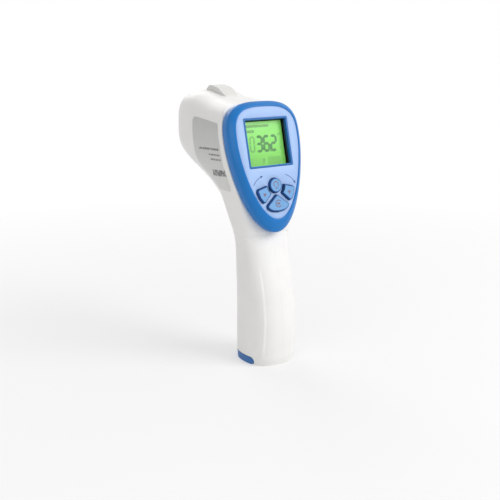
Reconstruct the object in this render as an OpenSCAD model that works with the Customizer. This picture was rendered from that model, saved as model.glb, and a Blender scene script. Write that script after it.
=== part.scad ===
// Non-contact infrared forehead thermometer, pistol type, with display panel and keypad.
// +Z up, the display faces -Y (leaning back), the sensor nose points along +Y, the two shells part at X = 0.
// Sizes are in millimetres. The origin is on the floor, below the middle of the whole object.

/* [Body] */
// Wall thickness of the two plastic shells
wall = 2.2; // [1.6:0.1:2.8]
// Distance from the grip's axis to the flat front of the nose
nose_reach = 61.5; // [56:0.5:70]
// Half of the head's greatest width, at the display end
head_half_width = 21.3; // [19:0.1:24]
// Half of the grip's width
grip_half_width = 14.4; // [14:0.1:18]
// Outline points on each ring of the shell surface
ring_points = 40; // [24:4:64]

/* [Display panel] */
// Lean of the display panel away from vertical, degrees
panel_tilt = 14; // [5:1:30]
// Half width of the blue rim
rim_half_width = 22.5; // [20:0.1:25]
// Rim height above the panel's reference line
rim_top = 20.8; // [18:0.2:25]
// Rim depth below the panel's reference line
rim_bottom = 47.6; // [42:0.5:52]
// Depth of the rim from the shell to its front lip
rim_depth = 8.5; // [7:0.5:11]
// Clear width of the display window
window_w = 25.6; // [20:0.1:27]
// Clear height of the display window
window_h = 23.6; // [18:0.1:26]
// Visible width of the window frame's front edge
window_lip = 1.1; // [0.6:0.1:1.4]
// How far the display lies behind the face
window_depth = 3.5; // [2:0.1:4]

/* [Keys] */
// Diameter of the round key
key_d = 7.6; // [6:0.1:8.4]
// How far the keys stand out of the face
key_proud = 1.6; // [0.8:0.1:2.5]
// Travel of each key
key_travel = 0.8; // [0.4:0.1:1]
// Gap between a key and its opening
key_gap = 0.3; // [0.3:0.05:0.4]

/* [Trigger] */
// Width of the trigger
trigger_w = 11; // [8:0.5:12]
// Travel of the trigger
trigger_travel = 2; // [1:0.1:2.2]
// Gap between the trigger and its slot
trigger_gap = 0.35; // [0.3:0.05:0.5]

/* [Battery bay] */
// Diameter of one cell
cell_d = 10.5; // [10:0.1:10.5]
// Length of one cell with its tip
cell_l = 44.5; // [43:0.1:44.5]
// Diameter of the door's hinge pin
hinge_pin_d = 2; // [1.5:0.1:2.2]
// Radial clearance of the door on its pin
hinge_clearance = 0.05; // [0.02:0.01:0.1]
// Height of the blue door at the sides of the grip
door_h = 4; // [3.5:0.1:4.2]

/* [Nose] */
// Outer diameter of the ring around the sensor opening
nose_ring_d = 15.6; // [14:0.1:16.6]
// Diameter of the sensor opening
nose_bore_d = 11.4; // [9:0.1:12]

/* [Screws] */
// Shank diameter of the housing screws
screw_d = 1.66; // [1.5:0.02:2]
// Head diameter of the housing screws
screw_head_d = 3.8; // [3.4:0.1:4]

/* [Hidden] */

shift_y = -23.667;                // moves the grip's axis back so the origin is below the middle
eps = 0.01;

// Shell stations from the nose (first) to the foot of the grip (last), as [y, z] on the centre plane.
under = [[nose_reach, 113], [nose_reach - 0.5, 109.2], [nose_reach - 3, 105.3], [48.4, 100.4], [38.4, 96.2],
  [28.7, 91.2], [20.7, 85.4], [15.6, 80.2], [12.7, 74.5], [12.4, 67.5], [13.8, 60], [15.2, 48], [15.8, 34],
  [15.9, 18], [15.7, 6], [15.2, 0]];
half_w = [12.4, 16.1, head_half_width - 2.7, head_half_width - 1, head_half_width - 0.7,
  head_half_width - 0.3, head_half_width, head_half_width - 0.1, head_half_width - 1.6,
  grip_half_width + 2.3, grip_half_width + 0.5, grip_half_width, grip_half_width, grip_half_width,
  grip_half_width - 0.1, grip_half_width - 0.4];
n_over = [3, 3.2, 3.6, 3.1, 2.9, 3.4, 4, 3.4, 3, 2.7, 2.5, 2.4, 2.4, 2.5, 2.5, 2.5];
n_under = [3, 3, 3, 3, 3, 2.9, 2.8, 2.6, 2.5, 2.4, 2.4, 2.4, 2.4, 2.5, 2.5, 2.5];
over_head = [[nose_reach, 132], [nose_reach - 0.6, 136.5], [nose_reach - 3.8, 140.9], [47, 142.4],
  [34, 140.1], [21, 138.6]];
over_grip = [[-8.2, 58], [-12.9, 42], [-15.3, 26], [-15.3, 12], [-14.6, 5], [-13.6, 0]];
k_top = 6;                        // station at the top of the rim
k_tip = 10;                       // station at the lower tip of the rim
last = 15;

// Display panel plane: centre, and unit directions up the panel and out of it.
pc = [0, -1.6, 118.3];
pv = [0, sin(panel_tilt), cos(panel_tilt)];
pn = [0, -cos(panel_tilt), sin(panel_tilt)];
rim_mid = 1;                      // height of the widest line of the rim on the panel
rim_crown = 3.4;                  // fullness of the rim's upper outline, up the panel
rim_shoulder = 3;                 // and across it
function on_panel(u, v, h) = pc + [u, 0, 0] + v * pv + h * pn;

function clampi(i, n) = max(0, min(n - 1, i));
function at(a, i) = i < 0 ? 2 * a[0] - a[1] : i >= len(a) ? 2 * a[len(a) - 1] - a[len(a) - 2] : a[i];
function cr4(a, b, c, d, f) = 0.5 * (2 * b + (c - a) * f + (2 * a - 5 * b + 4 * c - d) * f * f
  + (3 * b - a - 3 * c + d) * f * f * f);
function spline(a, t) = let(i = clampi(floor(t), len(a) - 1), f = t - i)
  cr4(at(a, i - 1), at(a, i), at(a, i + 1), at(a, i + 2), f);
function rim_half(v) = let(t = min(1, v > rim_mid ? (v - rim_mid) / rim_top : (rim_mid - v) / rim_bottom))
  v > rim_mid ? rim_half_width * pow(1 - pow(t, rim_crown), 1 / rim_shoulder) : rim_half_width * sqrt(1 - pow(t, 1.6));
function seat(v) = let(p = on_panel(0, v, -rim_depth)) [p[1], p[2]];
v_hi = rim_mid + rim_top;
v_lo = rim_mid - rim_bottom;
function rim_v(t) = (v_hi + v_lo) / 2 + (v_hi - v_lo) / 2 * cos(180 * (t - k_top) / (k_tip - k_top));
head_curve = concat(over_head, [seat(v_hi)]);
grip_curve = concat([seat(v_lo)], over_grip);
function over(t) = t <= k_top ? spline(head_curve, t) : t < k_tip ? seat(rim_v(t))
  : spline(grip_curve, (t - k_tip) * 6 / (last - k_tip));
function flat_half(t) = t > k_top && t < k_tip ? rim_half(rim_v(t)) : 0;

// One ring of the shell surface at station t, moved in by inset.
function ring(t, inset, m) = let(
    a = spline(under, t), b = over(t), w = spline(half_w, t) - inset, r = max(0, flat_half(t) - inset),
    n1 = spline(n_over, t), n2 = spline(n_under, t), mid = (a + b) / 2, hv = (b - a) / 2,
    sc = (norm(hv) - inset) / norm(hv))
  [for (j = [0:m - 1]) let(th = 360 * j / m, c = cos(th), s = sin(th), n = s > 0 ? n1 : n2,
      q = pow(pow(abs(c), n) + pow(abs(s), n), -1 / n), cx = q * abs(c),
      x = s > eps ? r + (w - r) * cx : w * cx, y = sc * q * s)
    [(abs(c) < 0.001 ? 0 : sign(c)) * x, mid[0] + hv[0] * y, mid[1] + hv[1] * y]];

// Solid skinned through a list of rings that all have the same number of points.
module skin(rings) {
  m = len(rings[0]);
  k = len(rings);
  polyhedron(points = [for (r = rings) each r],
    faces = concat([[for (j = [0:m - 1]) j]], [[for (j = [m - 1:-1:0]) (k - 1) * m + j]],
      [for (i = [0:k - 2], j = [0:m - 1]) let(b = (j + 1) % m) [i * m + j, (i + 1) * m + j, (i + 1) * m + b]],
      [for (i = [0:k - 2], j = [0:m - 1]) let(b = (j + 1) % m) [i * m + j, (i + 1) * m + b, i * m + b]]),
    convexity = 6);
}

// Closed band: every ring is a closed profile, and the last ring joins the first.
module band(rings) {
  m = len(rings[0]);
  k = len(rings);
  polyhedron(points = [for (r = rings) each r],
    faces = concat(
      [for (i = [0:k - 1], j = [0:m - 1]) let(a = (i + 1) % k, b = (j + 1) % m) [i * m + j, i * m + b, a * m + b]],
      [for (i = [0:k - 1], j = [0:m - 1]) let(a = (i + 1) % k, b = (j + 1) % m) [i * m + j, a * m + b, a * m + j]]),
    convexity = 8);
}

// Round wire along a smooth path through points p, radius r.
function path_at(p, t) = spline(p, t);
module wire(p, r, steps = 24, m = 8) {
  n = len(p) - 1;
  skin([for (i = [0:steps]) let(t = n * i / steps, c = path_at(p, t),
      d0 = path_at(p, min(n, t + 0.02)) - path_at(p, max(0, t - 0.02)), d = d0 / norm(d0),
      u0 = cross(d, abs(d[0]) > 0.9 ? [0, 1, 0] : [1, 0, 0]), u = u0 / norm(u0), w = cross(d, u))
    [for (j = [0:m - 1]) c + r * (cos(-360 * j / m) * u + sin(-360 * j / m) * w)]]);
}

stations = concat([for (i = [0:12]) i / 2], [6.04, 6.15, 6.3], [for (i = [13:19]) i / 2], [9.75, 9.93],
  [for (i = [20:30]) i / 2]);
module loft(inset, t0, t1, m = ring_points)
  skin([for (t = stations) if (t >= t0 && t <= t1) ring(t, inset, m)]);
module panel_at() translate(pc) rotate([90 - panel_tilt, 0, 0]) children();
module slab(h0, h1) translate([0, 0, h0]) linear_extrude(h1 - h0) children();
module frame_shift() translate([0, shift_y, 0]) children();

// Outline of the rim moved in by d, and by e more at its lower end.
function pw(v, p) = sign(v) * pow(abs(v), p);
function teardrop(d, e, m = 72) = [for (i = [0:m - 1]) let(a = 360 * i / m, c = cos(a), s = sin(a))
  s >= 0 ? [(rim_half_width - d) * pw(c, 2 / rim_shoulder), rim_mid + (rim_top - d) * pow(s, 2 / rim_crown)]
         : [(rim_half_width - d) * c, rim_mid - (rim_bottom - d - e) * pow(-s, 1.25)]];
module tear2d(d, e) polygon(teardrop(d, e));
module rrect(w, h, r) offset(r) square([w - 2 * r, h - 2 * r], center = true);

// Sizes that follow from the ones above.
pivot = [-4.6, 2];                // y and z of the door's hinge line
hinge_r = 1.95;
cell_x = cell_d / 2 + 0.1;
cell_z = 4.6;
box_top = cell_z + cell_l + 4.9;
box_r = cell_d / 2 + 0.75;
trigger_z = [60.2, 78];
screw_at = [[40, 104], [24, 131], [2, 57.6], [10.1, 14.6]];
boss_r = 2.5;
board_screw_at = [[17.7, 6], [-17.7, 6], [14.6, -17.6], [-14.6, -17.6]];
board_h = [-7.6, -6.2];
lcd_h = -window_depth - 0.7;
key_mid = [0, -22.5];

// ---- Shells ----
module outer_body() loft(0, 0, last);
module inner_space() difference() {
  loft(wall, 2, last);
  translate([-40, -40, -5]) cube([80, 120, 5 + wall]);
}
module door_zone(gap) {
  translate([-30, pivot[0], -1]) cube([60, 40, door_h + 1 + gap]);
  translate([-30, pivot[0], pivot[1]]) rotate([0, 90, 0]) cylinder(r = hinge_r + gap, h = 60, $fn = 48);
  translate([-30, pivot[0] - hinge_r - gap, -1]) cube([60, hinge_r + gap + eps, pivot[1] + 1]);
}
module shell_ribs() intersection() {
  loft(wall - 0.3, 2, last);
  difference() {
    union() {
      for (z = [22, 45]) translate([-30, -30, z]) cube([60, 60, 1.4]);
      for (s = [-1, 1]) translate([s > 0 ? 7.2 : -27.2, -3.4, 63.4]) cube([20, 2.8, 12.2]);
      for (s = [-1, 1]) translate([s > 0 ? 8.75 : -28.75, sensor_y + 2.6, 100]) cube([20, 14.4, 36]);
      for (p = screw_at) translate([-30, p[0], p[1]]) rotate([0, 90, 0]) cylinder(r = boss_r, h = 60, $fn = 32);
    }
    translate([0, 0, -1]) linear_extrude(70) offset(0.05) box2d();
    translate([0, sensor_y - 2, sensor_z]) rotate([-90, 0, 0]) cylinder(r = 8.75, h = 25, $fn = 64);
  }
}
module hinge_lugs() for (s = [-1, 1]) translate([s * 9.2 - 1, 0, 0]) difference() {
  union() {
    translate([0, pivot[0], pivot[1]]) rotate([0, 90, 0]) cylinder(r = hinge_r - 0.1, h = 2, $fn = 48);
    translate([0, pivot[0] - 4.4, 0.1]) cube([2, 4.4, pivot[1] + hinge_r - 0.2]);
  }
  translate([-1, pivot[0], pivot[1]]) rotate([0, 90, 0]) cylinder(d = hinge_pin_d, h = 4, $fn = 48);
}
module shell_solid() {
  difference() {
    union() {
      difference() {
        outer_body();
        inner_space();
      }
      shell_ribs();
    }
    panel_at() slab(-16, -rim_depth + 3) tear2d(4.2, 5);
    door_zone(0.35);
    translate([0, nose_reach + 1, sensor_z]) rotate([90, 0, 0]) cylinder(d = 13.4, h = 8, $fn = 64);
    translate([-trigger_w / 2 - trigger_gap, 6, trigger_z[0] - trigger_gap])
      cube([trigger_w + 2 * trigger_gap, 14, trigger_z[1] - trigger_z[0] + 2 * trigger_gap]);
    translate([-ridge_w / 2, 0, 0]) rotate([90, 0, 90]) linear_extrude(ridge_w)
      polygon([[ridge_y[0], ridge_base[0]], [ridge_y[1], ridge_base[1]], [ridge_y[1], 150], [ridge_y[0], 150]]);
    for (p = screw_at) translate([0, p[0], p[1]]) rotate([0, 90, 0]) {
      translate([0, 0, -6.4]) cylinder(d = screw_d + 0.04, h = 6.5, $fn = 32);
      cylinder(d = screw_d + 0.6, h = 8, $fn = 32);
      translate([0, 0, 6]) cylinder(d = screw_head_d + 0.4, h = 30, $fn = 32);
    }
    for (p = trigger_screw_at) translate([p[0], -2.4, p[1]]) rotate([-90, 0, 0]) cylinder(d = 1.04, h = 4, $fn = 24);
  }
  hinge_lugs();
}
module left_shell() resize([0, 0, 0]) frame_shift() intersection() {
  shell_solid();
  translate([-60, -60, -1]) cube([60, 160, 170]);
}
module right_shell() resize([0, 0, 0]) frame_shift() intersection() {
  shell_solid();
  translate([0, -60, -1]) cube([60, 160, 170]);
}

// ---- Ridge and label ----
ridge_w = 9;
ridge_y = [32.5, 52];
ridge_base = [138.9, 141.2];      // height of its underside at each end
module top_ridge() frame_shift() translate([-ridge_w / 2, 0, 0]) rotate([90, 0, 90]) linear_extrude(ridge_w)
  polygon([[ridge_y[0], ridge_base[0]], [ridge_y[1], ridge_base[1]], [ridge_y[1], ridge_base[1] + 0.9],
    [ridge_y[1] - 1, ridge_base[1] + 1.8], [ridge_y[1] - 3.6, 144.9], [ridge_y[1] - 5.2, 145.2], [ridge_y[0] + 8.6, 144.4],
    [ridge_y[0] + 6.2, 143.7], [ridge_y[0] + 2.4, ridge_base[0] + 2.6], [ridge_y[0], ridge_base[0] + 1.4]]);
label_outline = [[38.6, 129.2], [40.4, 127.4], [39.6, 119.4], [37.8, 109.2], [35.3, 104.9], [30.3, 102],
  [22, 97.4], [15.3, 94], [6, 93.8], [5.2, 95], [5.6, 96.6], [10.1, 106.1], [14.1, 119.6], [15.8, 126],
  [17.4, 127.4]];
module side_label() resize([0, 0, 0]) frame_shift() intersection() {
  difference() {
    loft(-0.15, 2, 9);
    loft(0, 2, 9);
  }
  translate([-40, 0, 0]) rotate([90, 0, 90]) linear_extrude(40) polygon(label_outline);
}

// ---- Rim, face plate and window ----
module rim_bezel() frame_shift() band([for (p = [[0, 0, -rim_depth], [2.2, 2.6, -rim_depth], [2.2, 2.6, -1.2],
    [3.2, 3.5, -1.2], [3.2, 3.5, 0], [3, 3.2, 0.35], [2.6, 2.7, 0.5], [1.9, 1.9, 0.15], [1.1, 1, -0.7],
    [0.35, 0.3, -1.9], [0, 0, -3.2]])
  [for (q = teardrop(p[0], p[1])) on_panel(q[0], q[1], p[2])]]);
module window_hole(g) rrect(window_w + 2 * window_lip + 2 * g, window_h + 2 * window_lip + 2 * g, 1);
// Side keys and the lower key are cut back from a rounded outline around the round key.
module key_clear() translate(key_mid) circle(d = key_d + 2.8, $fn = 64);
module rounded(r) offset(r, $fn = 32) offset(delta = -r) children();
module left_key2d() rounded(0.9) difference() {
  rounded(1.3) polygon([[-12.3, -24], [-5.2, -22.4], [-2.6, -27.4], [-8.4, -31.7], [-10.9, -28.5]]);
  key_clear();
}
module right_key2d() mirror([1, 0]) left_key2d();
module bottom_key2d() rounded(1.3) polygon([[0, -27.1], [7.9, -33.4], [4.2, -35.6], [0, -36.2], [-4.2, -35.6],
  [-7.9, -33.4]]);
module all_keys2d() {
  translate(key_mid) circle(d = key_d, $fn = 64);
  left_key2d();
  right_key2d();
  bottom_key2d();
}
module face_plate() frame_shift() panel_at() {
  difference() {
    union() {
      slab(-1.2, 0) tear2d(3.25, 3.55);
      slab(-2.4, -1.2) tear2d(2.3, 2.8);
    }
    slab(-3, 1) window_hole(0.05);
    slab(-3, 1) offset(key_gap) all_keys2d();
  }
  for (p = board_screw_at) translate([p[0], p[1], 0]) difference() {
    slab(board_h[1], -2.4) circle(r = 1.6, $fn = 32);
    slab(board_h[1] - 1, -3) circle(d = 1.24, $fn = 32);
  }
}
module window_frame() frame_shift() panel_at() difference() {
  union() {
    slab(-2.5, 0.05) rrect(window_w + 2 * window_lip, window_h + 2 * window_lip, 1);
    slab(lcd_h, -2.45) rrect(window_w + 4, window_h + 4, 1);
  }
  slab(lcd_h - 1, 1) rrect(window_w, window_h, 0.6);
  slab(lcd_h - 1, lcd_h + 0.7) rrect(window_w + 1, window_h + 1, 0.6);
}
module window_lens() frame_shift() panel_at() slab(lcd_h + 0.12, lcd_h + 0.7) rrect(window_w + 0.9, window_h + 0.9, 0.6);
module lcd_glass() frame_shift() panel_at() slab(lcd_h - 1.1, lcd_h) square([window_w + 3.6, window_h + 3.6], center = true);
module backlight() frame_shift() panel_at() slab(board_h[1], lcd_h - 1.1) square([window_w + 3, window_h], center = true);
module contact_strips() frame_shift() panel_at() slab(board_h[1], lcd_h - 1.1)
  for (s = [-1, 1]) translate([0, s * (window_h / 2 + 1)]) square([window_w, 1.3], center = true);

// Seven-segment figure n, 1 unit high, upright.
segs = [[1, 1, 1, 0, 1, 1, 1], [0, 0, 1, 0, 0, 1, 0], [1, 0, 1, 1, 1, 0, 1], [1, 0, 1, 1, 0, 1, 1],
  [0, 1, 1, 1, 0, 1, 0], [1, 1, 0, 1, 0, 1, 1], [1, 1, 0, 1, 1, 1, 1], [1, 0, 1, 0, 0, 1, 0],
  [1, 1, 1, 1, 1, 1, 1], [1, 1, 1, 1, 0, 1, 1]];
module seg_bar(l, w) polygon([[-l / 2, 0], [-l / 2 + w / 2, w / 2], [l / 2 - w / 2, w / 2], [l / 2, 0],
  [l / 2 - w / 2, -w / 2], [-l / 2 + w / 2, -w / 2]]);
module figure7(n, w = 4.2, h = 8.4, b = 1.15) {
  place = [[0, h, 0], [-w / 2, 0.75 * h, 90], [w / 2, 0.75 * h, 90], [0, h / 2, 0], [-w / 2, 0.25 * h, 90],
    [w / 2, 0.25 * h, 90], [0, 0, 0]];
  for (i = [0:6]) if (segs[n][i] == 1) translate([place[i][0], place[i][1]]) rotate(place[i][2])
    seg_bar((place[i][2] == 0 ? w : h / 2) - 0.3, b);
}
module lcd_segments() frame_shift() panel_at() slab(lcd_h, lcd_h + 0.08) {
  for (i = [0:2]) translate([[-2.6, 3.4, 8.9][i], -5]) figure7([3, 6, 2][i]);
  translate([6.15, -5]) circle(d = 1.1, $fn = 16);
  translate([11.9, 4.4]) difference() {
    circle(d = 1.5, $fn = 20);
    circle(d = 0.8, $fn = 20);
  }
}

// ---- Printing on the face: two curved arrows ----
module arrow2d(head_low = false) {
  r = 9.2;
  difference() {
    intersection() {
      circle(r = r + 0.2, $fn = 96);
      polygon([[0, 0], 20 * [cos(150), sin(150)], 20 * [cos(125), sin(125)], 20 * [cos(108), sin(108)]]);
    }
    circle(r = r - 0.2, $fn = 96);
  }
  a = head_low ? 152 : 106;
  translate(r * [cos(a), sin(a)]) rotate(head_low ? a + 90 : a - 90) polygon([[-0.4, -0.75], [-0.4, 0.75], [1.1, 0]]);
}
module face_print() frame_shift() panel_at() slab(0, 0.05) {
  translate([-4.6, -26]) arrow2d();
  mirror([1, 0]) translate([-4.6, -26]) arrow2d(true);
}

// ---- Keys ----
module key_body() {
  slab(-1.2, key_proud - 0.5) children();
  slab(key_proud - 0.5, key_proud) offset(-0.45) children();
  slab(-3.2, -1.2) offset(-0.2) children();
  slab(-3.2, -2.4) offset(0.5) children();
}
module key_stem(p) translate([p[0], p[1], 0]) slab(-5.1, -3.2) square([1.5, 1.5], center = true);
stems = [key_mid, [-7.8, -27], [7.8, -27], [0, -32.6]];
module round_key() frame_shift() panel_at() {
  key_body() translate(key_mid) circle(d = key_d, $fn = 64);
  key_stem(stems[0]);
}
module left_key() frame_shift() panel_at() {
  key_body() left_key2d();
  key_stem(stems[1]);
}
module right_key() frame_shift() panel_at() {
  key_body() right_key2d();
  key_stem(stems[2]);
}
module bottom_key() frame_shift() panel_at() {
  key_body() bottom_key2d();
  key_stem(stems[3]);
}
module key_switches() frame_shift() panel_at() for (p = stems) translate([p[0], p[1], 0]) difference() {
  slab(board_h[1], -4.3) square([3.6, 3.6], center = true);
  slab(-6, -4) square([2.1, 2.1], center = true);
}

// ---- Main board ----
module main_board() frame_shift() panel_at() difference() {
  slab(board_h[0], board_h[1]) tear2d(2.5, 3.2);
  for (p = board_screw_at) slab(board_h[0] - 1, 0) translate(p) circle(d = 1.6, $fn = 32);
}
module board_screws() frame_shift() panel_at() for (p = board_screw_at) translate([p[0], p[1], 0]) difference() {
  union() {
    slab(board_h[0] - 0.85, board_h[0]) circle(d = 2.6, $fn = 32);
    slab(board_h[0], -3.4) circle(d = 1.2, $fn = 32);
  }
  slab(board_h[0] - 1.2, board_h[0] - 0.45) {
    square([1.9, 0.4], center = true);
    square([0.4, 1.9], center = true);
  }
}
module main_chip() frame_shift() panel_at() {
  translate([-2, -4]) slab(board_h[0] - 1.5, board_h[0] - 0.15) square([10, 10], center = true);
  for (a = [0:90:270], i = [-4:4]) translate([-2, -4, 0]) rotate(a) translate([5.4, i, 0])
    slab(board_h[0] - 0.5, board_h[0]) square([1.4, 0.4], center = true);
}
module board_parts() frame_shift() panel_at() {
  for (p = [[12, 3], [7, 2], [-12, 2], [-12, -8], [6, -14], [0, 5]]) translate(p)
    slab(board_h[0] - 0.9, board_h[0]) square([3.2, 1.6], center = true);
  translate([9, -6]) slab(board_h[0] - 5.2, board_h[0]) circle(d = 5, $fn = 32);
  translate([-8, 10]) slab(board_h[0] - 4, board_h[0]) square([9, 4.6], center = true);
  translate([0, -22]) slab(board_h[0] - 4, board_h[0]) square([7, 4.6], center = true);
}
module buzzer() frame_shift() panel_at() translate([6, 10.4, 0]) difference() {
  slab(board_h[0] - 3.6, board_h[0]) circle(d = 9, $fn = 48);
  slab(board_h[0] - 4, board_h[0] - 2.8) circle(d = 1.8, $fn = 24);
}

// ---- Sensor in the nose ----
sensor_z = 121.6;
sensor_y = nose_reach - 21.5;      // back face of the holder
module nose_at(y) translate([0, y, sensor_z]) rotate([-90, 0, 0]) children();
module tube(d1, d2, h) difference() {
  cylinder(d = d1, h = h, $fn = 64);
  translate([0, 0, -1]) cylinder(d = d2, h = h + 2, $fn = 64);
}
module nose_ring() frame_shift() {
  nose_at(nose_reach) difference() {
    union() {
      cylinder(d = nose_ring_d, h = 0.7, $fn = 64);
      translate([0, 0, 0.7]) cylinder(d1 = nose_ring_d, d2 = nose_ring_d - 1.4, h = 0.6, $fn = 64);
    }
    translate([0, 0, -1]) cylinder(d = nose_bore_d, h = 4, $fn = 64);
  }
  nose_at(nose_reach - 3.3) tube(13.3, nose_bore_d, 3.3);
}
module reflector_cone() frame_shift() nose_at(sensor_y + 7.6) difference() {
  union() {
    cylinder(d = 8, h = 1, $fn = 64);
    translate([0, 0, 1]) cylinder(d1 = 8, d2 = nose_bore_d - 0.05, h = 9, $fn = 64);
    translate([0, 0, 10]) cylinder(d = nose_bore_d - 0.05, h = 2.6, $fn = 64);
  }
  translate([0, 0, -1]) cylinder(d = 5, h = 3, $fn = 64);
  translate([0, 0, 1]) cylinder(d1 = 5, d2 = 10.2, h = 11.61, $fn = 64);
}
module sensor_holder() frame_shift() {
  nose_at(sensor_y) difference() {
    cylinder(d = 17.5, h = 7.6, $fn = 64);
    translate([0, 0, 3.2]) cylinder(d = 9.3, h = 5, $fn = 64);
    translate([0, 0, -1]) cylinder(d = 7, h = 5, $fn = 64);
  }
  nose_at(sensor_y + 7.6) tube(17.5, 14.5, 10.1);
}
module thermopile() frame_shift() {
  nose_at(sensor_y + 2.4) cylinder(d = 6.9, h = 0.8, $fn = 48);
  nose_at(sensor_y + 3.2) cylinder(d = 8.2, h = 3.8, $fn = 48);
  for (a = [45:90:315]) nose_at(sensor_y - 2.8) rotate(a) translate([2.2, 0, 0]) cylinder(d = 0.45, h = 5.2, $fn = 12);
}
module sensor_filter() frame_shift() nose_at(sensor_y + 7) cylinder(d = 4.4, h = 0.5, $fn = 48);
module sensor_gasket() frame_shift() nose_at(sensor_y + 7) tube(9.2, 5.4, 0.6);
module sensor_board() frame_shift() nose_at(sensor_y - 1.4) difference() {
  cylinder(d = 15.6, h = 1.4, $fn = 64);
  for (a = [45:90:315]) rotate(a) translate([2.2, 0, -1]) cylinder(d = 0.6, h = 4, $fn = 16);
}
module sensor_leads() frame_shift() for (i = [-1, 1])
  wire([[i * 2.6, sensor_y - 1.45, 125], [i * 2.6, sensor_y - 4, 125], [i * 2 - 3, sensor_y - 12, 124], [i * 2 - 7, 17.6, 127],
    on_panel(i * 2 - 8, 10, board_h[0] - 6.4), on_panel(i * 2 - 8, 10, board_h[0] - 4.02)], 0.55);

// ---- Trigger ----
module side_extrude(x0, x1) translate([x0, 0, 0]) rotate([90, 0, 90]) linear_extrude(x1 - x0) children();
module trigger() frame_shift() {
  side_extrude(-trigger_w / 2, trigger_w / 2) polygon(concat(
    [[8.6, trigger_z[0]], [13.6, trigger_z[0]]],
    [for (i = [0:8]) let(f = i / 8) [14.9 - 1.1 * sin(180 * f), trigger_z[0] + 0.9 + (trigger_z[1] - trigger_z[0] - 1.8) * f]],
    [[13.8, trigger_z[1]], [8.6, trigger_z[1]]]));
  side_extrude(-trigger_w / 2 - 1.5, trigger_w / 2 + 1.5)
    polygon([[7.1, trigger_z[0] - 1], [8.6, trigger_z[0] - 1], [8.6, trigger_z[1] + 1], [7.1, trigger_z[1] + 1]]);
  translate([-1.4, 3.9, 68]) cube([2.8, 3.3, 2.8]);
}
trigger_screw_at = [[8.7, 65.6], [-8.7, 65.6], [8.7, 73.2], [-8.7, 73.2]];
module trigger_switch() frame_shift() difference() {
  translate([-3.2, 0.8, 64.6]) cube([6.4, 4, 9.6]);
  translate([-1.75, 1.6, 67.65]) cube([3.5, 5, 3.5]);
}
module trigger_board() frame_shift() difference() {
  translate([-10.3, -0.6, 63.6]) cube([20.6, 1.4, 11.8]);
  for (p = trigger_screw_at) translate([p[0], -2, p[1]]) rotate([-90, 0, 0]) cylinder(d = 1.4, h = 4, $fn = 24);
}
module trigger_screws() frame_shift() for (p = trigger_screw_at) translate([p[0], 0, p[1]]) rotate([-90, 0, 0]) {
  translate([0, 0, -2.2]) cylinder(d = 1, h = 3, $fn = 24);
  difference() {
    translate([0, 0, 0.8]) cylinder(d = 2, h = 0.9, $fn = 24);
    translate([0, 0, 1.7]) cube([1.4, 0.3, 0.8], center = true);
  }
}

// ---- Battery door ----
module battery_door() resize([0, 0, 0]) frame_shift() difference() {
  intersection() {
    outer_body();
    union() {
      translate([-30, pivot[0], -1]) cube([60, 40, door_h + 1]);
      translate([-30, pivot[0], pivot[1]]) rotate([0, 90, 0]) cylinder(r = hinge_r, h = 60, $fn = 48);
    }
  }
  translate([0, 0, 2]) linear_extrude(10) intersection() {
    projection(cut = true) translate([0, 0, -3]) loft(wall - 0.2, 10, last);
    translate([-30, pivot[0] + hinge_r + 0.9]) square([60, 60]);
  }
  for (s = [-1, 1]) translate([s * 9.2 - 1.35, pivot[0] - 3, -2]) cube([2.7, 3 + hinge_r + 0.5, 8]);
  translate([-12.6, pivot[0], pivot[1]]) rotate([0, 90, 0]) cylinder(d = hinge_pin_d + 2 * hinge_clearance, h = 40, $fn = 48);
}
module hinge_pin() frame_shift() translate([-12.5, pivot[0], pivot[1]]) rotate([0, 90, 0])
  cylinder(d = hinge_pin_d, h = 25.4, $fn = 48);
module door_contact() frame_shift() {
  translate([-9.4, -1.4, 2]) cube([18.8, 5.6, 0.5]);
  for (s = [-1, 1]) translate([s * cell_x, 1.2, 2.5]) cylinder(d = 4, h = cell_z - 2.55, $fn = 32);
}

// ---- Battery bay ----
module box2d() {
  for (s = [-1, 1]) translate([s * cell_x, 0]) circle(r = box_r, $fn = 64);
  square([2 * cell_x, 2 * box_r], center = true);
}
module battery_box() frame_shift() difference() {
  translate([0, 0, 5.6]) linear_extrude(box_top - 5.6) box2d();
  for (s = [-1, 1]) translate([s * cell_x, 0, -1]) cylinder(d = cell_d + 0.16, h = box_top - 0.6, $fn = 64);
}
module battery_cells() frame_shift() {
  translate([cell_x, 0, cell_z]) {
    cylinder(d = cell_d, h = cell_l - 1.1, $fn = 64);
    translate([0, 0, cell_l - 1.1]) cylinder(d = 3.8, h = 1.1, $fn = 32);
  }
  translate([-cell_x, 0, cell_z]) {
    cylinder(d = 3.8, h = 1.1, $fn = 32);
    translate([0, 0, 1.1]) cylinder(d = cell_d, h = cell_l - 1.1, $fn = 64);
  }
}
module cell_contacts() frame_shift() {
  for (s = [-1, 1]) translate([s * cell_x, 0, box_top - 2]) cylinder(d = 8, h = 0.4, $fn = 48);
  translate([cell_x, 0, cell_z + cell_l]) cylinder(d = 4.4, h = box_top - 2 - cell_z - cell_l, $fn = 32);
}
module cell_springs() frame_shift() translate([-cell_x, 0, 0]) wire([for (i = [0:40]) let(a = i * 360 * 2.5 / 40)
  [(3.6 - i * 0.02) * cos(a), (3.6 - i * 0.02) * sin(a), cell_z + cell_l + 0.25 + (box_top - 2.5 - cell_z - cell_l) * i / 40]],
  0.25, 60, 6);
module battery_leads() frame_shift() for (i = [-1, 1])
  wire([[i * 5, -3.6, box_top + 0.02], [i * 5.2, -3.6, box_top + 2], [i * 6.5, -3.2, 58.4], [i * 9.6, -0.4, 62],
    [i * (grip_half_width - 2.4), 3, 66], [i * (grip_half_width - 2.4), 4.2, 72], [i * 10.2, 4.8, 79], [i * 4, 6.4, 88], on_panel(i * 2, -22, board_h[0] - 6.4),
    on_panel(i * 2, -22, board_h[0] - 4.02)], 0.55, 40);

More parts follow.
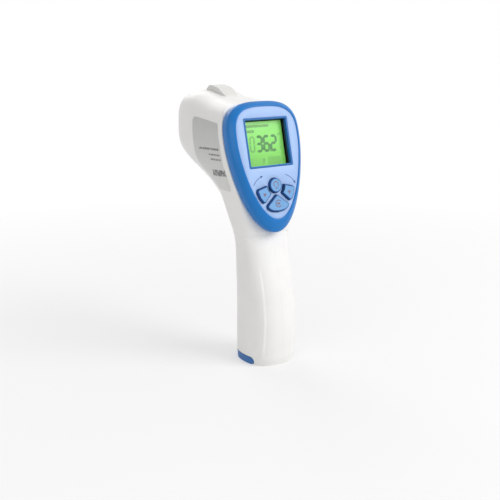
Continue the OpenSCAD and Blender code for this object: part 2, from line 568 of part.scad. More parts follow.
// ---- Housing screws ----
module housing_screws() frame_shift() for (p = screw_at) translate([0, p[0], p[1]]) rotate([0, 90, 0]) difference() {
  union() {
    translate([0, 0, -6]) cylinder(d = screw_d, h = 12, $fn = 32);
    translate([0, 0, 6]) cylinder(d = screw_head_d, h = 1.6, $fn = 48);
  }
  translate([0, 0, 7.4]) cube([2.4, 0.6, 1.2], center = true);
  translate([0, 0, 7.4]) cube([0.6, 2.4, 1.2], center = true);
}

color("#f2f3f3") left_shell();
color("#f2f3f3") right_shell();
color("#1576bf") rim_bezel();
color("#a9c8f0") face_plate();
color("#1a5fae") window_frame();
color([0.8, 0.9, 0.85, 0.4]) window_lens();
color("#8fdc78") lcd_glass();
color("#4a8f42") lcd_segments();
color("#f4f7ee") backlight();
color("#d88fa8") contact_strips();
color("#1f6b3a") main_board();
color("#c8ccd0") board_screws();
color("#24262a") main_chip();
color("#c9b98c") board_parts();
color("#1c1d20") buzzer();
color("#3a3d44") key_switches();
color("#6aa2dc") round_key();
color("#6aa2dc") left_key();
color("#6aa2dc") right_key();
color("#6aa2dc") bottom_key();
color("#3f7fc4") face_print();
color("#d8d9d8") top_ridge();
color("#b8babb") side_label();
color("#1f6fb5") nose_ring();
color("#c9c9c4") reflector_cone();
color("#26282c") sensor_holder();
color("#c7b36a") thermopile();
color("#40464e") sensor_filter();
color("#1f6b3a") sensor_board();
color("#2b2b2e") sensor_gasket();
color("#b03030") sensor_leads();
color("#1f6fb5") trigger();
color("#2a2c30") trigger_switch();
color("#1f6b3a") trigger_board();
color("#c8ccd0") trigger_screws();
color("#2a66ad") battery_door();
color("#c8ccd0") hinge_pin();
color("#cdb65c") door_contact();
color("#e2e4e4") battery_box();
color("#3d6fa8") battery_cells();
color("#c8ccd0") cell_contacts();
color("#c8ccd0") cell_springs();
color("#222222") battery_leads();
color("#c8ccd0") housing_screws();
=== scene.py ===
# Pistol-shaped non-contact thermometer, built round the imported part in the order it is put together.
# Sizes in the sections are millimetres, and MM turns them into metres.
import math

import bmesh
import bpy
import numpy as np
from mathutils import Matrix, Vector


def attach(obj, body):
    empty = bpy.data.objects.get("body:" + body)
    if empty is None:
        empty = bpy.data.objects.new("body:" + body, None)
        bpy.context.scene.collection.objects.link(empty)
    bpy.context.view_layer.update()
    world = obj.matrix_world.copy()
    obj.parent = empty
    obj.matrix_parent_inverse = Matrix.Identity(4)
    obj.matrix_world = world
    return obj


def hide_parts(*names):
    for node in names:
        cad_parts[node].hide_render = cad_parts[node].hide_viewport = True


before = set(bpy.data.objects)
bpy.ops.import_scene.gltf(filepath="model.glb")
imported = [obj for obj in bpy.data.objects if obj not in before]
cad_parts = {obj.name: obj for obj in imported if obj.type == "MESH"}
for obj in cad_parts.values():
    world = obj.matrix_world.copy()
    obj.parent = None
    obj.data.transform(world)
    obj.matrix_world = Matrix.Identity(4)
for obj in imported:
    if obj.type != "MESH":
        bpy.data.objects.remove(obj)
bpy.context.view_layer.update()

# ---------------------------------------------------------------- housing shells
# Two white ABS mouldings with a fine satin grain, parted down the middle and screwed together
# from the right. The skin runs through measured stations from the nose to the foot of the grip.
MM = 0.001
GRIP_AXIS_Y = -23.667
NOSE_FACE = 61.5
WALL = 2.2
RIM_HALF_W, RIM_MID, RIM_UP, RIM_DOWN, RIM_DEPTH = 22.5, 1.0, 20.8, 47.6, 8.5
RIM_CROWN, RIM_SHOULDER = 3.4, 3.0
TILT = math.radians(14)
PANEL_O = np.array([0, -1.6, 118.3])
PANEL_V = np.array([0, math.sin(TILT), math.cos(TILT)])
PANEL_N = np.array([0, -math.cos(TILT), math.sin(TILT)])
UNDER = [(61.5, 113), (61, 109.2), (58.5, 105.3), (48.4, 100.4), (38.4, 96.2), (28.7, 91.2), (20.7, 85.4), (15.6, 80.2),
         (12.7, 74.5), (12.4, 67.5), (13.8, 60), (15.2, 48), (15.8, 34), (15.9, 18), (15.7, 6), (15.2, 0)]
OVER_HEAD = [(61.5, 132), (60.9, 136.5), (57.7, 140.9), (47, 142.4), (34, 140.1), (21, 138.6)]
OVER_GRIP = [(-8.2, 58), (-12.9, 42), (-15.3, 26), (-15.3, 12), (-14.6, 5), (-13.6, 0)]
HALF_W = [12.4, 16.1, 18.6, 20.3, 20.6, 21.0, 21.3, 21.2, 19.7, 16.7, 14.9, 14.4, 14.4, 14.4, 14.3, 14.0]
N_OVER = [3, 3.2, 3.6, 3.1, 2.9, 3.4, 4, 3.4, 3, 2.7, 2.5, 2.4, 2.4, 2.5, 2.5, 2.5]
N_UNDER = [3, 3, 3, 3, 3, 2.9, 2.8, 2.6, 2.5, 2.4, 2.4, 2.4, 2.4, 2.5, 2.5, 2.5]
K_TOP, K_TIP, K_FOOT = 6, 10, 15
SCREW_AT = [(40, 104), (24, 131), (2, 57.6), (10.1, 14.6)]
HINGE_Y, HINGE_Z, HINGE_R = -4.6, 2.0, 1.95
DOOR_H = 4.0
TRIGGER_Z = (60.2, 78.0)
TRIGGER_W = 11.0
SENSOR_Z = 121.6
RIDGE_W, RIDGE_Y, RIDGE_BASE = 9.0, (32.5, 52.0), (138.9, 141.2)


def spline(pts, t):
    """Point at t on a smooth curve through pts."""
    n = len(pts) - 1
    i = max(0, min(int(math.floor(t)), n))
    f = t - i
    q = np.array(pts, float)
    a, b, c, d = (q[k] if 0 <= k <= n else 2 * q[0] - q[1] if k < 0 else 2 * q[n] - q[n - 1]
                  for k in (i - 1, i, i + 1, i + 2))
    return 0.5 * (2 * b + (c - a) * f + (2 * a - 5 * b + 4 * c - d) * f ** 2 + (3 * b - a - 3 * c + d) * f ** 3)


def on_panel(u, v, h):
    return PANEL_O + np.array([u, 0, 0]) + v * PANEL_V + h * PANEL_N


def rim_half(v):
    """Half width of the rim's outline at height v on the panel."""
    t = min(1.0, (v - RIM_MID) / RIM_UP if v > RIM_MID else (RIM_MID - v) / RIM_DOWN)
    return RIM_HALF_W * ((1 - t ** RIM_CROWN) ** (1 / RIM_SHOULDER) if v > RIM_MID else math.sqrt(1 - t ** 1.6))


def seat_v(t):
    hi, lo = RIM_MID + RIM_UP, RIM_MID - RIM_DOWN
    return (hi + lo) / 2 + (hi - lo) / 2 * math.cos(math.pi * (t - K_TOP) / (K_TIP - K_TOP))


def over_edge(t):
    """Upper or rear profile point of the body, and how wide its flat seat for the rim is."""
    seat = lambda v: on_panel(0, v, -RIM_DEPTH)[1:]
    if t <= K_TOP:
        return spline(OVER_HEAD + [tuple(seat(RIM_MID + RIM_UP))], t), 0.0
    if t < K_TIP:
        return seat(seat_v(t)), rim_half(seat_v(t))
    return spline([tuple(seat(RIM_MID - RIM_DOWN))] + OVER_GRIP, (t - K_TIP) * 6 / (K_FOOT - K_TIP)), 0.0


def ease(x, a, b):
    x = min(1.0, max(0.0, (x - a) / (b - a)))
    return x * x * (3 - 2 * x)


def body_ring(t, inset, angles):
    """Left half of one ring of the skin, from the upper middle round to the lower middle."""
    a = spline(UNDER, t)
    b, r = over_edge(t)
    w = float(spline(HALF_W, t)) - inset
    r = max(0.0, r - inset)
    n1, n2 = float(spline(N_OVER, t)), float(spline(N_UNDER, t))
    mid, half = (a + b) / 2, (b - a) / 2
    sc = (np.linalg.norm(half) - inset) / np.linalg.norm(half)
    out = []
    for th in angles:
        c, s = abs(math.cos(th)), math.sin(th)
        n = n1 if s > 0 else n2
        q = (c ** n + abs(s) ** n) ** (-1 / n)
        x = r + (w - r) * q * c if s > 1e-6 else w * q * c
        if th in (angles[0], angles[-1]):
            x = 0.0
        y, z = mid + half * sc * q * s
        if inset == 0 and s > 0:
            edge = max(9.5, 10.3 - 0.027 * z)
            y += 0.5 * ease(z, 3.0, 9.0) * (1 - ease(z, 46.0, 56.0)) * (1 - ease(x, edge - 0.45, edge + 0.45))
        out.append((-x, y, z))
    return out


def solid(name, verts, faces):
    """Closed mesh object with its faces turned outwards."""
    me = bpy.data.meshes.new(name)
    me.from_pydata([tuple(v) for v in verts], [], faces)
    bm = bmesh.new()
    bm.from_mesh(me)
    bmesh.ops.remove_doubles(bm, verts=bm.verts, dist=1e-7)
    bmesh.ops.dissolve_degenerate(bm, edges=bm.edges, dist=1e-8)
    bmesh.ops.recalc_face_normals(bm, faces=bm.faces)
    if bm.calc_volume(signed=True) < 0:
        bmesh.ops.reverse_faces(bm, faces=bm.faces)
    bm.to_mesh(me)
    bm.free()
    ob = bpy.data.objects.new(name, me)
    bpy.context.collection.objects.link(ob)
    return ob


def skin(name, rings, mirror=False):
    """Solid skinned through rings of points given in millimetres on the grip's own axis."""
    m, k = len(rings[0]), len(rings)
    v = np.array(rings, float).reshape(-1, 3)
    v[:, 1] += GRIP_AXIS_Y
    if mirror:
        v[:, 0] *= -1
    f = [tuple(range(m)), tuple((k - 1) * m + j for j in reversed(range(m)))]
    for i in range(k - 1):
        for j in range(m):
            b = (j + 1) % m
            f.append((i * m + j, (i + 1) * m + j, (i + 1) * m + b, i * m + b))
    return solid(name, v * MM, f)


def prism(loop, axis, lo, hi):
    """Straight solid with a flat outline: x takes (y, z) points, z takes (x, y), p takes (u, v) on the panel."""
    at = {"x": lambda p, d: (d, p[0], p[1]), "z": lambda p, d: (p[0], p[1], d), "y": lambda p, d: (p[0], d, p[1]),
          "p": lambda p, d: tuple(on_panel(p[0], p[1], d))}[axis]
    return skin("cutter", [[at(p, lo) for p in loop], [at(p, hi) for p in loop]])


def round_rect(cx, cy, w, h, r, n=8):
    pts = []
    for k, (sx, sy) in enumerate([(1, 1), (-1, 1), (-1, -1), (1, -1)]):
        for i in range(n + 1):
            a = math.pi / 2 * (k + i / n)
            pts.append((cx + sx * (w / 2 - r) + r * math.cos(a), cy + sy * (h / 2 - r) + r * math.sin(a)))
    return pts


def ring_pts(cx, cy, r, n=64):
    return [(cx + r * math.cos(2 * math.pi * i / n), cy + r * math.sin(2 * math.pi * i / n)) for i in range(n)]


def combine(ob, tool, how):
    """Adds, takes away or keeps the overlap of another solid, which is used up."""
    mod = ob.modifiers.new("cut", "BOOLEAN")
    mod.operation, mod.solver, mod.object = how, "MANIFOLD", tool
    me = bpy.data.meshes.new_from_object(ob.evaluated_get(bpy.context.evaluated_depsgraph_get()))
    ob.modifiers.clear()
    ob.data = me
    bpy.data.objects.remove(tool)
    return ob


def finish_piece(ob, mat, body, nodes=(), angle=38):
    """Smooth shading with sharp edges kept, material, body and the CAD nodes the piece stands for."""
    me = ob.data
    me.shade_smooth()
    me.set_sharp_from_angle(angle=math.radians(angle))
    if mat:
        me.materials.clear()
        for m in (mat if isinstance(mat, (list, tuple)) else [mat]):
            me.materials.append(m)
    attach(ob, body)
    if nodes:
        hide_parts(*nodes)
    return ob


def smooth_bevel(ob, width, segments=3, angle=35):
    """Rounds the hard edges of a cut solid by a real radius."""
    mod = ob.modifiers.new("edge", "BEVEL")
    mod.width, mod.segments, mod.limit_method, mod.angle_limit = width * MM, segments, "ANGLE", math.radians(angle)
    mod.use_clamp_overlap, mod.harden_normals = True, False
    me = bpy.data.meshes.new_from_object(ob.evaluated_get(bpy.context.evaluated_depsgraph_get()))
    ob.modifiers.clear()
    ob.data = me
    return ob


class Value:
    """A socket in a finish's node tree, used in ordinary arithmetic."""

    def __init__(self, finish, out):
        self.finish, self.out = finish, out

    def math(self, op, *others):
        return self.finish.node("Math", {"operation": op}, {i: v for i, v in enumerate((self,) + others)})

    def __add__(self, o): return self.math("ADD", o)
    __radd__ = __add__
    def __mul__(self, o): return self.math("MULTIPLY", o)
    __rmul__ = __mul__
    def __sub__(self, o): return self.math("SUBTRACT", o)
    def __truediv__(self, o): return self.math("DIVIDE", o)
    def __rsub__(self, o): return self.finish.node("Math", {"operation": "SUBTRACT"}, {0: o, 1: self})
    def __rtruediv__(self, o): return self.finish.node("Math", {"operation": "DIVIDE"}, {0: o, 1: self})


class Shading:
    """A shader tree, whose nodes all come from one method."""

    def __init__(self, owner):
        owner.use_nodes = True
        self.tree = owner.node_tree

    def node(self, kind, settings=None, sockets=None, out=0):
        n = self.tree.nodes.new("ShaderNode" + kind)
        for k, v in (settings or {}).items():
            setattr(n, k, v)
        for k, v in (sockets or {}).items():
            if isinstance(v, Value):
                self.tree.links.new(v.out, n.inputs[k])
            else:
                n.inputs[k].default_value = v
        return Value(self, n.outputs[out])


class Finish(Shading):
    """A material with a Principled shader."""

    def __init__(self, name, color, roughness=0.4, **fixed):
        self.mat = bpy.data.materials.new(name)
        super().__init__(self.mat)
        self.shader = self.tree.nodes["Principled BSDF"]
        self.set("Base Color", tuple(color) + (1.0,))
        self.set("Roughness", roughness)
        for k, v in fixed.items():
            self.set(k.replace("_", " "), v)

    def set(self, socket, v):
        s = self.shader.inputs[socket]
        if isinstance(v, Value):
            self.tree.links.new(v.out, s)
        else:
            s.default_value = v

    def where(self, name="Object"):
        return self.node("TexCoord", out=["Generated", "Normal", "UV", "Object"].index(name))

    def axis(self, k, vec=None):
        return self.node("SeparateXYZ", None, {0: vec or self.where()}, out="XYZ".index(k))

    def noise(self, scale, detail=3.0, rough=0.5, vec=None):
        return self.node("TexNoise", None, {"Vector": vec or self.where(), "Scale": scale, "Detail": detail,
                                            "Roughness": rough})

    def remap(self, v, a, b, lo, hi):
        return self.node("MapRange", {"clamp": True},
                         {"Value": v, "From Min": a, "From Max": b, "To Min": lo, "To Max": hi})

    def mix(self, fac, a, b):
        a, b = [tuple(c) + (1.0,) if isinstance(c, (tuple, list)) and len(c) == 3 else c for c in (a, b)]
        return self.node("Mix", {"data_type": "RGBA"}, {0: fac, 6: a, 7: b}, out=2)

    def bump(self, height, strength, distance):
        self.set("Normal", self.node("Bump", None, {"Height": height, "Strength": strength, "Distance": distance}))

    def speckle(self, scale, detail, dark, light):
        """Colour that wanders between two tones."""
        self.set("Base Color", self.mix(self.remap(self.noise(scale, detail), 0.3, 0.7, 0, 1), dark, light))


def moulded(name, color, roughness, grain=1.0, vary=0.03, **fixed):
    """Moulded plastic: fine spark-eroded grain, faint flow mottling and a slightly uneven gloss."""
    f = Finish(name, color, roughness, **fixed)
    c1 = tuple(x * (1 - vary) for x in color)
    c2 = tuple(min(1.0, x * (1 + vary * 0.6)) for x in color)
    f.set("Base Color", f.mix(f.remap(f.noise(60, 4, 0.6), 0.35, 0.65, 0, 1), c1, c2))
    f.set("Roughness", f.remap(f.noise(170, 4, 0.65), 0.3, 0.7, roughness - 0.05, roughness + 0.07))
    f.bump(f.noise(3800, 2, 0.5) * 0.7 + f.noise(900, 3, 0.55) * 0.3, 0.10 * grain, 0.00008)
    return f


shell_white = moulded("shell_white", (0.80, 0.797, 0.788), 0.36, 1.0, 0.02)

# Places along the skin where a ring stands, closer together at both ends of the rim's seat.
SKIN_T = sorted(set(
    [round(i / 8, 4) for i in range(K_TOP * 8 + 1)]
    + [K_TOP + d for d in (0.02, 0.05, 0.09, 0.14, 0.2, 0.27, 0.35, 0.44, 0.54, 0.65, 0.77, 0.9)]
    + [7 + i / 12 for i in range(31)] + [9.6, 9.7, 9.79, 9.86, 9.92, 9.96, 9.985, 10.0]
    + [K_TIP + i / 12 for i in range(61)]))
OUTER_ANGLES = [math.radians(a) for a in [90, 90.4, 91.2, 92.2, 93.4, 94.8]
                + [96.5 + 2.0 * i for i in range(86)] + [268.5, 270]]
INNER_ANGLES = [math.radians(90 + 4.5 * i) for i in range(41)]
SEAM_GAP = 0.015
BOSS_R = 2.5
DOOR_GAP = 0.35


def half_body(right):
    """One shell: skin less its hollow, with bosses and hinge lugs, cut for rim, trigger, door and nose."""
    rings = []
    for t in SKIN_T:
        r = body_ring(t, 0, OUTER_ANGLES)
        rings.append([(min(p[0], -SEAM_GAP), p[1], p[2]) for p in r])
    ob = skin("skin", rings, right)
    inner_t = [t for t in SKIN_T[::2] if t >= 2] + [K_FOOT]
    hollow = []
    for t in inner_t:
        r = body_ring(t, WALL, INNER_ANGLES)
        hollow.append([(1.0,) + tuple(p[1:]) if abs(p[0]) < 1e-9 else p for p in r])
    hollow = skin("hollow", hollow, right)
    combine(hollow, prism(round_rect(0, 20, 80, 120, 1), "z", WALL, 160), "INTERSECT")
    inside = hollow.copy()
    inside.data = hollow.data.copy()
    bpy.context.collection.objects.link(inside)
    combine(ob, hollow, "DIFFERENCE")
    s = 1 if right else -1
    side = lambda a, b: (min(s * a, s * b), max(s * a, s * b))
    for y, z in SCREW_AT:
        boss = prism(ring_pts(y, z, BOSS_R, 40), "x", *side(0.05, 21))
        keep = inside.copy()
        keep.data = inside.data.copy()
        bpy.context.collection.objects.link(keep)
        combine(boss, keep, "INTERSECT")
        combine(ob, boss, "UNION")
    bpy.data.objects.remove(inside)
    combine(ob, prism(teardrop(4.2, 5), "p", -16, -RIM_DEPTH + 3), "DIFFERENCE")
    zone = [(-6.9, -2), (40, -2), (40, DOOR_H + 0.3), (HINGE_Y, DOOR_H + 0.3)]
    barrel = [math.radians(90 + 90 * i / 12) for i in range(13)]
    clear = HINGE_R + DOOR_GAP
    zone += [(HINGE_Y + clear * math.cos(a), HINGE_Z + clear * math.sin(a)) for a in barrel]
    combine(ob, prism(zone, "x", -30, 30), "DIFFERENCE")
    combine(ob, prism(ring_pts(0, SENSOR_Z, 6.7), "y", NOSE_FACE - 7, NOSE_FACE + 3), "DIFFERENCE")
    slot = round_rect(0, sum(TRIGGER_Z) / 2, TRIGGER_W + 0.7, TRIGGER_Z[1] - TRIGGER_Z[0] + 0.7, 1.2)
    combine(ob, prism(slot, "y", 6, 20), "DIFFERENCE")
    back, front = RIDGE_Y[0] - 0.05, RIDGE_Y[1] + 0.05
    pocket = prism([(back, RIDGE_BASE[0]), (front, RIDGE_BASE[1]), (front, 150), (back, 150)], "x", -20, 20)
    above = round_rect(0, sum(RIDGE_Y) / 2, RIDGE_W + 0.1, RIDGE_Y[1] - RIDGE_Y[0] + 0.1, 1.3)
    combine(pocket, prism(above, "z", 120, 160), "INTERSECT")
    combine(ob, pocket, "DIFFERENCE")
    for y, z in SCREW_AT:
        if right:
            combine(ob, prism(ring_pts(y, z, 2.1), "x", 6, 40), "DIFFERENCE")
            combine(ob, prism(ring_pts(y, z, 1.1, 40), "x", -1, 8), "DIFFERENCE")
        else:
            combine(ob, prism(ring_pts(y, z, 0.85, 40), "x", -6.4, 1), "DIFFERENCE")
    lug_r, eye = 1.85, [math.radians(-90 + 180 * i / 24) for i in range(25)]
    lug = [(HINGE_Y - 4.4, 0.1)] + [(HINGE_Y + lug_r * math.cos(a), HINGE_Z + lug_r * math.sin(a)) for a in eye]
    lug += [(HINGE_Y - 4.4, HINGE_Z + lug_r)]
    lug = prism(lug, "x", *side(8.2, 10.2))
    combine(lug, prism(ring_pts(HINGE_Y, HINGE_Z, 1.0, 40), "x", *side(8, 11)), "DIFFERENCE")
    combine(ob, lug, "UNION")
    return ob


def teardrop(d, e, m=200):
    """Outline of the rim moved in by d, and by e more at its lower end."""
    out = []
    for i in range(m):
        a = 2 * math.pi * i / m
        c, s = math.cos(a), math.sin(a)
        if s >= 0:
            out.append(((RIM_HALF_W - d) * math.copysign(abs(c) ** (2 / RIM_SHOULDER), c),
                        RIM_MID + (RIM_UP - d) * s ** (2 / RIM_CROWN)))
        else:
            out.append(((RIM_HALF_W - d) * c, RIM_MID - (RIM_DOWN - d - e) * (-s) ** 1.25))
    return out


for right in (False, True):
    shell = half_body(right)
    shell.name = "right_shell_skin" if right else "left_shell_skin"
    finish_piece(shell, shell_white.mat, "housing", ["right_shell" if right else "left_shell"], 34)

# ---------------------------------------------------------------- display rim
# Blue ABS ring in a teardrop outline that stands on the shells and clamps the face plate.
# Its side wall is straight and its front is a broad slope that rises to a narrow lip.
rim_blue = moulded("rim_blue", (0.006, 0.165, 0.50), 0.34, 0.5, 0.04, Specular_IOR_Level=0.3)
RIM_PROFILE = [(0.6, -8.5), (0.3, -7.6), (0.08, -6.6), (0, -5.4), (0, -3.5), (0.05, -3.1), (0.2, -2.65), (0.5, -2.15),
               (1.05, -1.45), (1.65, -0.8), (2.2, -0.28), (2.6, 0), (2.88, 0.12), (3.06, 0.12), (3.18, 0.04),
               (3.22, -0.08), (3.22, -1.2), (2.2, -1.2), (2.2, -8.5)]
TIP_MORE = 1.1
loops = []
for d, h in RIM_PROFILE:
    loops.append([tuple(on_panel(u, v, h)) for u, v in teardrop(d, d * TIP_MORE)])
k, m = len(loops), len(loops[0])
pts = np.array(loops).reshape(-1, 3) + np.array([0, GRIP_AXIS_Y, 0])
faces = [(i * m + j, i * m + (j + 1) % m, ((i + 1) % k) * m + (j + 1) % m, ((i + 1) % k) * m + j)
         for i in range(k) for j in range(m)]
finish_piece(solid("rim", pts * MM, faces), rim_blue.mat, "housing", ["rim_bezel"], 40)

# ---------------------------------------------------------------- face plate
# Pale blue polycarbonate plate with a fine matt texture. It drops in behind the rim's lip and has
# openings for the display and for the four keys, each with a softly rounded edge.
KEY_MID = (0.0, -22.5)
KEY_R = 3.8
WINDOW_W, WINDOW_H, WINDOW_LIP, WINDOW_DEPTH = 25.6, 23.6, 1.1, 3.5
LCD_H = -WINDOW_DEPTH - 0.7


def offset_loop(loop, d):
    """Closed outline moved outwards by d along its own normals."""
    p = np.array(loop, float)
    e1, e2 = p - np.roll(p, 1, 0), np.roll(p, -1, 0) - p
    n1 = np.stack([e1[:, 1], -e1[:, 0]], 1) / np.linalg.norm(e1, axis=1)[:, None]
    n2 = np.stack([e2[:, 1], -e2[:, 0]], 1) / np.linalg.norm(e2, axis=1)[:, None]
    n = n1 + n2
    n /= (n * n).sum(1)[:, None] / 2
    area = (p[:, 0] * np.roll(p[:, 1], -1) - np.roll(p[:, 0], -1) * p[:, 1]).sum()
    return [tuple(q) for q in p + n * d * (1 if area > 0 else -1)]


def rounded_loop(corners, radii, n=9):
    """Outline through corners, each rounded by its own radius."""
    out, k = [], len(corners)
    for i in range(k):
        p, a, b = (np.array(corners[j % k], float) for j in (i, i - 1, i + 1))
        u, v = (a - p) / np.linalg.norm(a - p), (b - p) / np.linalg.norm(b - p)
        half = math.acos(max(-1, min(1, float(u @ v)))) / 2
        r = radii[i] if isinstance(radii, (list, tuple)) else radii
        cut = r / math.tan(half)
        cut = min(cut, 0.46 * min(np.linalg.norm(a - p), np.linalg.norm(b - p)))
        r = cut * math.tan(half)
        mid = (u + v) / np.linalg.norm(u + v)
        c = p + mid * r / math.sin(half)
        s, t = p + u * cut - c, p + v * cut - c
        a0, a1 = math.atan2(s[1], s[0]), math.atan2(t[1], t[0])
        da = (a1 - a0 + math.pi) % (2 * math.pi) - math.pi
        out += [tuple(c + r * np.array([math.cos(a0 + da * q / (n - 1)), math.sin(a0 + da * q / (n - 1))]))
                for q in range(n)]
    return out


CLEAR_R = 5.2
KEY_GAP = 0.3
ARC = [(KEY_MID[0] + CLEAR_R * math.cos(math.radians(a)), KEY_MID[1] + CLEAR_R * math.sin(math.radians(a)))
       for a in (178, 187, 198, 210, 221, 231)]
LEFT_KEY = rounded_loop([(-12.2, -24.0)] + ARC + [(-8.4, -31.5), (-10.8, -28.5)], [1.3, 0.9, 2, 2, 2, 2, 0.9, 1.3, 2.5])
RIGHT_KEY = [(-x, y) for x, y in reversed(LEFT_KEY)]
BOTTOM_KEY = rounded_loop([(0, -27.0), (-7.8, -33.3), (-4.2, -35.6), (0, -36.2), (4.2, -35.6), (7.8, -33.3)],
                          [1.5, 1.4, 5, 9, 5, 1.4])
ROUND_KEY = ring_pts(KEY_MID[0], KEY_MID[1], KEY_R, 96)
KEYS = {"round_key": ROUND_KEY, "left_key": LEFT_KEY, "right_key": RIGHT_KEY, "bottom_key": BOTTOM_KEY}
FACE_H = -0.35

face_blue = moulded("face_blue", (0.33, 0.475, 0.76), 0.44, 0.7, 0.02, Specular_IOR_Level=0.35)
plate = prism(teardrop(3.26, 3.6), "p", -1.2, FACE_H)
OPENINGS = [round_rect(0, 0, WINDOW_W + 2 * WINDOW_LIP + 0.1, WINDOW_H + 2 * WINDOW_LIP + 0.1, 0.8)]
OPENINGS += [offset_loop(loop, KEY_GAP) for loop in KEYS.values()]
for loop in OPENINGS:
    combine(plate, prism(loop, "p", -3, 2), "DIFFERENCE")
smooth_bevel(plate, 0.14, 2)
flange = prism(teardrop(2.3, 2.6), "p", -2.4, -1.22)
for loop in OPENINGS:
    combine(flange, prism(loop, "p", -3, 2), "DIFFERENCE")
combine(plate, flange, "UNION")
finish_piece(plate, face_blue.mat, "housing", ["face_plate"], 38)

# ---------------------------------------------------------------- window frame
# Deep blue frame moulded separately and pressed in from behind. Its walls lead down to the display,
# and its front edge shows as a thin blue line round the window.
frame_blue = moulded("frame_blue", (0.010, 0.12, 0.38), 0.36, 0.5, 0.04, Specular_IOR_Level=0.3)
win = prism(round_rect(0, 0, WINDOW_W + 2 * WINDOW_LIP, WINDOW_H + 2 * WINDOW_LIP, 0.7), "p", -2.3, FACE_H + 0.1)
combine(win, prism(round_rect(0, 0, WINDOW_W, WINDOW_H, 0.35), "p", LCD_H - 1, 2), "DIFFERENCE")
smooth_bevel(win, 0.25, 3)
finish_piece(win, frame_blue.mat, "housing", ["window_frame"], 38)
gasket_black = moulded("gasket_black", (0.012, 0.012, 0.014), 0.6, 1.6, 0.1)
# Black lining of the recess from the frame down to the glass: partly the display's dark surround, partly painted shade
# in the gap beside the glass.
dark_surround_shade = prism(round_rect(0, 0, WINDOW_W + 3.4, WINDOW_H + 3.4, 0.7), "p", LCD_H, -2.32)
combine(dark_surround_shade, prism(round_rect(0, 0, WINDOW_W, WINDOW_H, 0.35), "p", LCD_H - 1, 2), "DIFFERENCE")
combine(dark_surround_shade, prism(round_rect(0, 0, WINDOW_W + 1, WINDOW_H + 1, 0.4), "p", LCD_H - 1, LCD_H + 0.72), "DIFFERENCE")
finish_piece(dark_surround_shade, gasket_black.mat, "housing", (), 38)

# ---------------------------------------------------------------- display
# Reflective green liquid-crystal glass behind a clear lens. The green area has a black band at its top and right,
# partly the display's own border and partly painted shade from the walls of the recess.
# The green is painted lighter towards the top and glows faintly, both painted light. The seven-segment figures lie as
# dark shapes in the glass, with unlit ones faintly visible.
glass = prism(round_rect(0, 0, WINDOW_W + 3.6, WINDOW_H + 3.6, 0.4), "p", LCD_H - 1.1, LCD_H)


def panel_uv(ob):
    """UV map in millimetres across and up the panel, so that patterns follow it."""
    uv = ob.data.uv_layers.new(name="panel")
    for lp in ob.data.loops:
        p = np.array(ob.data.vertices[lp.vertex_index].co) / MM - np.array([0, GRIP_AXIS_Y, 0]) - PANEL_O
        uv.data[lp.index].uv = (float(p[0]), float(p @ PANEL_V))


def band(f, x, a, b, soft=0.08):
    """1 between a and b, with a soft edge."""
    return f.remap(x, a - soft, a + soft, 0, 1) * f.remap(x, b - soft, b + soft, 1, 0)


panel_uv(glass)
lcd = Finish("lcd_green", (0.33, 0.72, 0.20), 0.22, Specular_IOR_Level=0.5)
uv = lcd.where("UV")
u, v = lcd.axis("X", uv), lcd.axis("Y", uv)
# Outside this area the glass is black, partly the display's own border and partly painted shade from the recess walls.
green_inside_border_and_shade = band(lcd, u, -14.5, 12.2, 0.15) * band(lcd, v, -13.2, 11.4, 0.15)
# Painted light: the green is lighter towards the top.
painted_light_to_top = lcd.remap(v, -13, 13, 0, 1)
green = lcd.mix(painted_light_to_top, (0.18, 0.55, 0.085), (0.235, 0.66, 0.135))
green = lcd.mix(lcd.remap(lcd.noise(0.5, 2, 0.5, uv), 0.3, 0.7, 0, 0.12), green, (0.30, 0.70, 0.18))
faint = (0.10, 0.30, 0.06)
marks = None
for a, b, c, d, s in [(-10.6, 4.0, 8.4, 9.7, 1.0), (-10.6, -5.6, 5.8, 7.1, 0.95),
                      (-10.6, -2.6, -11.2, -7.2, 0.12), (0.9, 9.4, -11.2, -7.2, 0.45)]:
    m = band(lcd, u, a, b) * band(lcd, v, c, d) * s
    marks = m if marks is None else marks + m
letters = lcd.remap(lcd.noise(1.9, 1, 0.5, uv), 0.42, 0.5, 0.6, 1.0)
green = lcd.mix(marks * letters, green, faint)
lcd.set("Base Color", lcd.mix(green_inside_border_and_shade, (0.004, 0.006, 0.006), green))
# The green also glows faintly of itself, as painted light that brightens the glass.
lcd.set("Emission Color", lcd.mix(green_inside_border_and_shade, (0.0, 0.0, 0.0), green))
lcd.set("Emission Strength", 0.22)
finish_piece(glass, lcd.mat, "housing", ["lcd_glass"], 38)

SEGS = {"3": "1011011", "6": "1101111", "2": "1011101", "0": "1110111"}


def figure(ch, cx, cy, w=3.2, h=7.4, b=1.4):
    """Bars of one seven-segment figure, as outlines on the panel."""
    place = [(0, h, 0), (-w / 2, .75 * h, 1), (w / 2, .75 * h, 1), (0, h / 2, 0),
             (-w / 2, .25 * h, 1), (w / 2, .25 * h, 1), (0, 0, 0)]
    out = []
    for on, (x, y, up) in zip(SEGS[ch], place):
        if on == "1":
            l = (h / 2 if up else w) - 0.1
            pts = [(-l / 2, 0), (-l / 2 + b / 2, -b / 2), (l / 2 - b / 2, -b / 2),
                   (l / 2, 0), (l / 2 - b / 2, b / 2), (-l / 2 + b / 2, b / 2)]
            if up:
                pts = [(-q, p) for p, q in pts]
            out.append([(cx + x + p + 0.06 * (y + q - 4), cy + y + q) for p, q in pts])
    return out


def join_prisms(name, loops, lo, hi):
    """One mesh of several flat pieces lying on the panel."""
    verts, faces = [], []
    for loop in loops:
        n, o = len(loop), len(verts)
        for h in (lo, hi):
            verts += [(on_panel(p[0], p[1], h) + np.array([0, GRIP_AXIS_Y, 0])) * MM for p in loop]
        faces += [tuple(o + i for i in range(n))[::-1], tuple(o + n + i for i in range(n))]
        faces += [(o + i, o + (i + 1) % n, o + n + (i + 1) % n, o + n + i) for i in range(n)]
    return solid(name, verts, faces)


